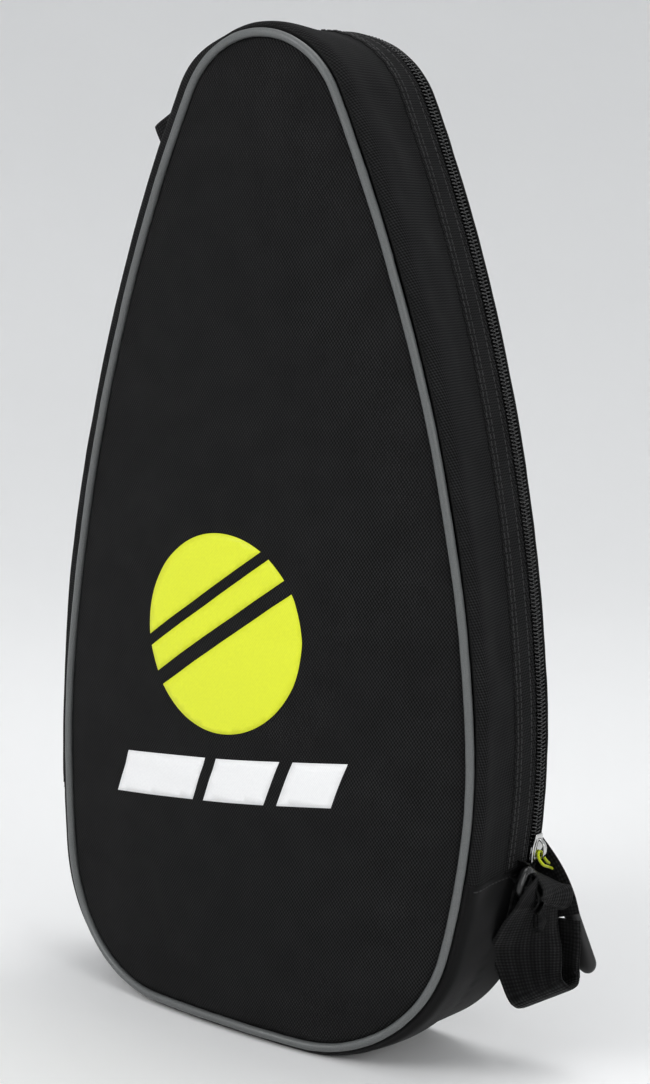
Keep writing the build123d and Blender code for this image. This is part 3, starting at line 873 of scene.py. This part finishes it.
def binding():
    """Tape folded over the back panel's edge, with its stitches."""
    section = [(3.3, 33.3), (4.3, 33.2), (4.75, 33.7), (4.9, 34.6), (4.6, 35.6), (3.7, 36.2), (1.5, 36.35)]
    section += [(-2.0, 36.35), (-4.6, 36.3), (-5.2, 36.0), (-5.0, 35.6), (-1.0, 35.5), (3.0, 35.3)]
    ends = S_CROSS + 0.4, RIM - S_CROSS - 0.4
    piece = band_loop("back_edge_binding", section, *ends, "binding", sway=0.2)
    finish_piece(piece, None, "back_binding", "lower_back_binding")
    ends = S_CROSS + 2, RIM - S_CROSS - 2
    row = stitches("back_binding_stitches", *ends, 36.3, 0.05, lambda s, y: 0 * s - 3.2, across_cloth=True)
    finish_piece(row, None, slot="binding")


def stops():
    """Small moulded blocks that end the chain at both sides."""
    for side, s0 in (("right", S_CROSS + 1.2), ("left", RIM - S_CROSS - 1.2)):
        p, n = rim(np.array([s0]))
        along = np.array([-n[0, 1], n[0, 0]])
        base = np.array([p[0, 0] + n[0, 0] * 4.4, Y_CHAIN, p[0, 1] + n[0, 1] * 4.4])
        rings = []
        for height, size in ((-1.2, 0.75), (-1.0, 0.95), (0, 1.0), (1.0, 0.95), (1.2, 0.7)):
            turn = turns(16)
            out = 1.35 * size * squared(np.cos(turn), 0.5)
            back = 3.3 * size * squared(np.sin(turn), 0.5)
            ring = base + np.array([along[0], 0, along[1]]) * height * 0.75
            rings.append(ring + np.stack([n[0, 0] * out, back, n[0, 1] * out], -1))
        piece = loft(f"zip_stop_{side}", rings, "zip_coil")
        finish_piece(piece, "case", *(["zip_end_stops"] if side == "right" else []))


# ---- Ribbons, rods and other swept pieces ----
def frames(points, across):
    """Directions across and out of a ribbon along a path."""
    tangent = unit(np.gradient(points, axis=0))
    across = unit(across - tangent * (across * tangent).sum(1, keepdims=True))
    return across, np.cross(tangent, across)


def ribbon_object(name, points, across, width, thick, material, columns=19):
    """Woven strap along a path, with rounded selvages."""
    points, across = np.asarray(points, float), np.asarray(across, float)
    across, normal = frames(points, across)
    t = np.linspace(-1, 1, columns)
    half = thick / 2 * (1 - 0.55 * np.abs(t) ** 14)
    width = np.broadcast_to(width, len(points))
    middle = points[:, None] + across[:, None] * (width[:, None] / 2 * t)[..., None]
    raised = normal[:, None] * half[None, :, None]
    rings = np.concatenate([middle + raised, (middle - raised)[:, ::-1]], 1)
    along = run_length(points)
    side = width.mean() / 2 * t
    v = np.concatenate([side, side[::-1] + 80])
    weave = np.stack(np.meshgrid(along, v, indexing="ij"), -1)
    return loft(name, rings, material, weave=weave)


def tube(name, points, radius, material, sides, up, closed=False):
    """Round bar along a path."""
    points = np.asarray(points, float)
    if closed:
        tangent = unit(np.roll(points, -1, axis=0) - np.roll(points, 1, axis=0))
    else:
        tangent = unit(np.gradient(points, axis=0))
    side = unit(np.cross(tangent, np.broadcast_to(np.asarray(up, float), points.shape)))
    other = np.cross(side, tangent)
    rings = circles(points, np.broadcast_to(radius, len(points)), side, other, sides)
    return loft(name, rings, material, closed=closed)


# ---- Strap ----
STEEP = radians(58.7)
DOWN = np.array([cos(STEEP), 0, -sin(STEEP)])
ACROSS = np.array([sin(STEEP), 0, cos(STEEP)])
STRAP_Y = 38.8
LOW_FOLD = np.array([130.0, STRAP_Y, 38.0])
STRAP_WIDTH, STRAP_THICK = 32.0, 1.6
SWAY = 17.0  # how far the strap's run leans outward above its lower fold
RING_BAR = 2.1
RING_TILT = radians(33.5)
RING_LOW = np.array([129.5, 19.0, 78.5])
RING_ALONG = np.array([0, cos(RING_TILT), -sin(RING_TILT)])
RING_UP = np.array([0, sin(RING_TILT), cos(RING_TILT)])
RING_REACH = 10.5
RING_LENGTH = 27.0
RING_HIGH = RING_LOW + RING_UP * RING_REACH


def strap_at(z):
    """Middle of the strap at a height; near its lower fold it leans outward."""
    lean = SWAY * ease((118.0 - z) / 40.0) * ease((z - 34.0) / 40.0) - 5.5 * ease((z - 320.0) / 80.0)
    return LOW_FOLD - DOWN * (z - 38.0) / sin(STEEP) + np.array([lean, 0, 0])


def upper_strap():
    """From the ply sewn into the door's edge, over the upper fold and down the back."""
    top = strap_at(423.5)
    path = [top + DOWN * d + (0, -3.4, 0) for d in (104, 80, 55, 30, 10)]
    path += [top - DOWN * up + (0, -y, 0) for up, y in ((0.9, 3.1), (2.1, 1.7), (0.9, 0.2))]
    runs = [*np.linspace(415, 98, 16), 90, 82, 74, 66]
    path += [strap_at(z) + (0, 0.5 * wander(z / 40, 0.3) if z > 125 else 0, 0) for z in runs]
    path = spline(path, 260)
    across = np.broadcast_to(ACROSS, path.shape)
    piece = ribbon_object("shoulder_strap", path, across, STRAP_WIDTH, STRAP_THICK, "webbing")
    finish_piece(piece, None, "strap_upper", slot="webbing")


def lower_strap():
    """From the run on the case, round the hanging fold and up to the ring's lower bar."""
    fold = [(7.0 * np.sin(a), 7.0 * np.cos(a) - 7.0) for a in np.linspace(0, pi, 7)]
    spots = [(strap_at(z), ACROSS) for z in (66.8, 58.0, 47.0)]
    spots += [(LOW_FOLD + DOWN * d + (0, y, 0), ACROSS) for d, y in fold]
    spots += [
        ((127.4, 24.0, 46.0), (0.84, 0.12, 0.50)),
        ((126.6, 22.0, 56.0), (0.76, 0.45, 0.34)),
        ((128.8, 19.5, 66.0), (0.45, 0.80, -0.05)),
    ]
    wrap = RING_BAR + 1.15
    for a in np.linspace(-0.15 * pi, 1.05 * pi, 8):
        spots.append((RING_LOW + (wrap * np.cos(a), 0, 0) + RING_UP * wrap * np.sin(a), RING_ALONG))
    spots.append(((126.9, 18.0, 73.8), (0.15, 0.86, -0.42)))
    spots.append(((126.6, 20.6, 66.6), (0.42, 0.82, -0.10)))
    path = spline([p for p, _ in spots], 190)
    across = spline([unit(np.array(a)) for _, a in spots], 190)
    count = len(spots) - 1
    narrow = np.interp(np.linspace(0, count, 190), [0, 11, 14, count], [STRAP_WIDTH, STRAP_WIDTH, 25.0, 23.0])
    piece = ribbon_object("strap_lower_webbing", path, across, narrow, STRAP_THICK, "webbing")
    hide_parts("strap_lower", "strap_end")
    del piece["finish"]
    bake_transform(piece)


def ring_and_tab():
    corner = 3.4
    x, y = RING_LENGTH / 2 - corner, RING_REACH / 2 - corner
    loop = []
    for cx, cy, start in ((x, y, 0), (-x, y, 90), (-x, -y, 180), (x, -y, 270)):
        for a in np.linspace(start, start + 90, 9):
            loop.append((cx + corner * cos(radians(a)), cy + corner * sin(radians(a))))
    loop = rounded(loop, 1.2)
    middle = (RING_LOW + RING_HIGH) / 2
    path = middle + loop[:, :1] * RING_ALONG + loop[:, 1:] * RING_UP
    ring = tube("strap_ring_bar", path, RING_BAR, "black_plastic", 16, (1, 0, 0), closed=True)
    finish_piece(ring, "strap_ring", "strap_ring")
    wall = side_x(88.0)
    along = RING_ALONG
    crest = np.array([0.12, 0.94, -0.30])
    spots = [
        ((wall - 2.5, 25.0, 90.4), along),
        ((wall + 3.0, 25.4, 91.0), along),
        ((wall + 7.5, 26.0, 89.4), along * 0.6 + crest * 0.4),
        ((136.8, 26.4, 84.6), crest),
        ((137.4, 26.4, 80.2), crest),
        ((135.8, 25.9, 77.2), crest),
        ((132.8, 24.8, 77.8), crest * 0.5 + along * 0.5),
        ((130.4, 23.4, 81.6), along),
        ((wall - 2.5, 22.4, 83.6), along),
    ]
    path = spline([p for p, _ in spots], 90)
    across = spline([a for _, a in spots], 90)
    width = np.interp(np.linspace(0, 1, 90), [0, 0.3, 0.55, 0.8, 1], [20.0, 22.0, 25.0, 22.0, 20.5])
    tab = ribbon_object("ring_tab_webbing", path, across, width, 1.4, "webbing", columns=15)
    finish_piece(tab, "case", "lower_strap_tab")


def side_x(z, offset=GUSSET_OUT):
    s = height_s(z)
    p, n = rim(np.array([s]))
    return float(p[0, 0] + n[0, 0] * offset)


# ---- Slider and pull ----
def slider_axes():
    cx, cz, radius = RISING[1][:3]
    z = 100.0
    x = cx + sqrt((radius + 3.0) ** 2 - (z - cz) ** 2)
    out = np.array([x - cx, 0, z - cz])
    out /= np.linalg.norm(out)
    up = np.array([-out[2], 0, out[0]])
    return np.array([x, Y_CHAIN, z]), out, up


def prism(name, outline, low, high, bevel):
    """Plate from an outline of (back, up) pairs between two heights out of the wall."""
    origin, out, up = slider_axes()
    outline = np.asarray(outline, float)
    points = []
    for h in (low, high):
        points += [origin + out * h + np.array([0, b, 0]) + up * u for b, u in outline]
    n = len(outline)
    faces = [tuple(range(n)), tuple(range(n, 2 * n))]
    faces += [(i, (i + 1) % n, n + (i + 1) % n, n + i) for i in range(n)]
    obj = mesh_object(name, points, faces, "bright_metal")
    return modify(obj, "BEVEL", width=bevel * MM, segments=3, limit_method="ANGLE", angle_limit=radians(40))


def slider_outline(scale=1.0, shorten=0.0):
    """The slider's plate: two shoulders, a waist and the notch between its heels."""
    right = [(2.7, 7.0), (3.1, 4.5), (4.0, 1.5), (4.3, -2.0)]
    right += [(4.2, -5.6), (3.3, -6.9), (1.3, -6.6), (0.9, -5.2)]
    right = [(b * scale, u * scale - shorten) for b, u in right]
    return right + [(-b, u) for b, u in reversed(right)]


def slider():
    finish_piece(prism("slider_body", slider_outline(), 3.0, 4.3, 0.45), "zip_slider", "zip_slider")
    post = [(0.35, -2.2), (0.35, -5.8), (-0.35, -5.8), (-0.35, -2.2)]
    plates = [
        ("slider_crown", slider_outline(0.72, 0.2), 4.1, 4.75, 0.3),
        ("slider_under_plate", slider_outline(0.98), -2.2, -1.1, 0.35),
        ("slider_post", post, -1.4, 3.2, 0.12),
    ]
    for name, side in (("slider_lip_front", -1), ("slider_lip_back", 1)):
        lip = [(side * b, u) for b, u in ((3.5, 2.2), (4.25, 0.8), (4.35, -4.8), (3.6, -5.2))]
        plates.append((name, lip, 2.2, 3.4, 0.25))
    for plate in plates:
        finish_piece(prism(*plate), "zip_slider", slot="bright_metal")
    origin, out, up = slider_axes()
    arch = [(-4.2, 4.2), (-4.0, 5.6), (-3.0, 7.1), (-1.0, 7.75)]
    arch += [(1.4, 7.7), (3.2, 6.9), (4.2, 5.5), (4.6, 4.3)]
    path = spline([origin + up * u + out * h for u, h in arch], 40)
    across = np.broadcast_to(np.array([0.0, 1.0, 0.0]), path.shape)
    bridge = ribbon_object("slider_bridge_arch", path, across, 2.3, 1.0, "bright_metal", columns=9)
    finish_piece(bridge, "zip_slider", "slider_bridge")


PULL_TOP = np.array([129.2, 42.4, 87.0])
CORD_RADIUS = 0.68
PULL_END = np.array([144.0, 46.8, 46.5])


def pull():
    """Cord loop through the bridge and a moulded grip with a round end."""
    origin, out, up = slider_axes()
    under = origin + out * 5.4 - up * 1.4
    legs = [PULL_TOP + (0.6, 1.0, -3.0), PULL_TOP + (0.2, 0.6, 1.6)]
    back = (0.2, 8.6, -6.6), (0.8, 4.8, -4.6), (0.5, 2.2, -1.8), (0, 1.0, 0.2)
    front = (0, -1.0, 0.2), (0.9, -2.0, -2.2), (1.7, 1.0, -5.6), (1.2, 6.6, -7.8)
    legs += [under + spot for spot in back + front]
    legs += [PULL_TOP + (0.7, -1.2, 0.6), PULL_TOP + (0.6, -0.8, -3.0)]
    cord = tube("lime_pull_cord", spline(legs, 90), CORD_RADIUS, "lime_cord", 10, (1, 0.2, 0.1))
    finish_piece(cord, "zip_pull", "pull_cord")
    along = PULL_END - PULL_TOP
    length = np.linalg.norm(along)
    along /= length
    flat = np.cross(np.cross(np.array([0.0, 1.0, 0.0]), along), along)
    flat /= np.linalg.norm(flat)
    side = np.cross(flat, along)
    turn = turns(28)
    rings = []
    stations = [(-0.6, 0.35), (-0.5, 0.7), (0.0, 0.9), (0.8, 1.0), (2.2, 1.0), (3.0, 0.93), (3.8, 1.0)]
    stations += [(10, 1.0), (20, 1.0), (30, 1.0), (38, 1.0), (length - 1, 1.0)]
    for a in np.linspace(0, 1, 9)[1:]:
        stations.append((length - 1 + 5.4 * sin(a * pi / 2), max(cos(a * pi / 2), 0.06)))
    for distance, size in stations:
        w = np.interp(distance, [0, length], [2.75, 4.7]) * size
        t = np.interp(distance, [0, 6, length], [2.3, 2.5, 2.8])
        t *= size if distance < 5 else max(size, 0.05) ** 0.8
        centre = PULL_TOP + along * distance
        wide, deep = w * squared(np.cos(turn), 0.8), t * squared(np.sin(turn), 0.8)
        rings.append(centre + side * wide[:, None] + flat * deep[:, None])
    finish_piece(loft("pull_grip", rings, "black_rubber"), "zip_pull", "rubber_pull")


# ---- Build ----
def lining_wall(s):
    """Section of the gusset's lining, between the front and the back."""
    inner = np.array([2.2, 2.2, 2.2, 2.2, 2.95, 2.95, 2.95, 2.95])
    share = np.array([1, 0.66, 0.33, 0, 0, 0.33, 0.66, 1])
    front = bow(rim(s)[0][:, 0])[:, None]
    depth = front * share + 3.2 * share + 20.4 * np.array([0, 0.34, 0.67, 1, 1, 0.67, 0.34, 0])
    return np.stack([np.broadcast_to(inner, (len(s), len(inner))), depth], -1)


PAD = 5.0  # thickness of the front and back cloths with their foam


def bow_surface(gap):
    return lambda x, z: bow(x) + gap


def flat_surface(y):
    return lambda x, z: 0 * x + y


def build():
    nodes = ["front_panel", "front_foam"]
    front, surface = padded_panel("front_cloth", -1.2, bow_surface(0.1), 3.2, -1, PAD, "twill", "case", nodes)
    printed("round_emblem", emblem_shapes(), surface, "lime_print", "front_emblem")
    printed("slanted_bar", bar_shapes(), surface, "white_print", "front_stripe")
    nodes = ["back_panel", "back_foam", "lower_back_panel", "lower_back_foam"]
    back, _ = padded_panel("back_cloth", 3.0, flat_surface(Y_BACK + 0.1), 1.3, 1, PAD, "twill", None, nodes)
    lining_sheet("front_lining_cloth", 1.9, bow_surface(7.4), 0.8, -1, "case", ["front_lining"])
    nodes = ["back_lining", "lower_back_lining"]
    lining_sheet("back_lining_cloth", -2.2, flat_surface(Y_BACK - 6.2), 0.8, 1, None, nodes)
    wall = band_loop("gusset_lining_cloth", lining_wall, 0, RIM, "lining", closed=True, step=4.0)
    finish_piece(wall, "case", "gusset_lining")
    piping()
    gusset()
    tape("front_tape", Y_BAND - 3, Y_CHAIN - 0.5, "case", ["front_zip_tape"])
    tape("back_tape", Y_CHAIN + 0.5, Y_BACK - 1.3, None, ["back_zip_tape", "back_zip_tape_end"])
    coil("front_coil", Y_CHAIN - 1.45, 1, 0.0, "case", ["front_zip_coil"])
    coil("back_coil", Y_CHAIN + 1.45, -1, 0.5, None, ["back_zip_coil", "back_zip_coil_end"])
    binding()
    stops()
    upper_strap()
    lower_strap()
    ring_and_tab()
    slider()
    pull()


build()


# ---- Stage ----
def aim(obj, target):
    obj.rotation_euler = (Vector(target) - obj.location).to_track_quat("-Z", "Y").to_euler()


def area_light(name, location, target, size, energy):
    data = bpy.data.lights.new(name, "AREA")
    data.energy, data.size = energy, size
    light = add_object(name, data)
    light.location = location
    aim(light, target)


# The floor is level out to FLOOR_FLAT metres, then curves up so that no horizon shows.
FLOOR_FLAT = 1.3
FLOOR_RISE = 0.22


def stage():
    mesh = bpy.data.meshes.new("floor")
    work = bmesh.new()
    bmesh.ops.create_grid(work, x_segments=80, y_segments=80, size=9.0)
    for v in work.verts:
        v.co.z = FLOOR_RISE * max(0.0, v.co.xy.length - FLOOR_FLAT) ** 2
    for f in work.faces:
        f.smooth = True
    work.to_mesh(mesh)
    work.free()
    floor = add_object("floor", mesh)
    material, tree = blank("pale_floor")
    grain = node(tree, "TexNoise", Scale=30.0).outputs["Fac"]
    tint = node(tree, "MixRGB", _0=grain, _1=(0.86, 0.86, 0.86, 1), _2=(0.90, 0.90, 0.90, 1)).outputs[0]
    close(tree, node(tree, "BsdfPrincipled", Base_Color=tint, Roughness=0.9))
    mesh.materials.append(material)
    world = bpy.data.worlds.new("studio")
    world.use_nodes = True
    sky = world.node_tree.nodes["Background"].inputs
    sky[0].default_value = (0.92, 0.94, 0.96, 1)
    sky[1].default_value = 0.84
    bpy.context.scene.world = world
    bpy.context.scene.view_settings.view_transform = "Standard"
    middle = (0, 0, 0.22)
    area_light("key", (-0.7, -1.7, 1.3), middle, 1.0, 18)
    area_light("side", (1.9, -0.5, 0.9), middle, 0.9, 11)
    area_light("top", (0.1, 0.5, 1.9), middle, 1.0, 10)


CAMERA_RIGHT = Vector((0.78889, 0.61309, 0.04215))
CAMERA_UP = Vector((-0.11917, 0.08533, 0.98920))
CAMERA_FORWARD = Vector((-0.60287, 0.78539, -0.14038))


def camera():
    data = bpy.data.cameras.new("camera")
    data.lens = 72.2
    view = add_object("camera", data)
    axes = Matrix((CAMERA_RIGHT, CAMERA_UP, -CAMERA_FORWARD)).transposed().to_4x4()
    view.matrix_world = Matrix.Translation((0.6204, -0.7814, 0.3681)) @ axes
    bpy.context.scene.camera = view


stage()
camera()
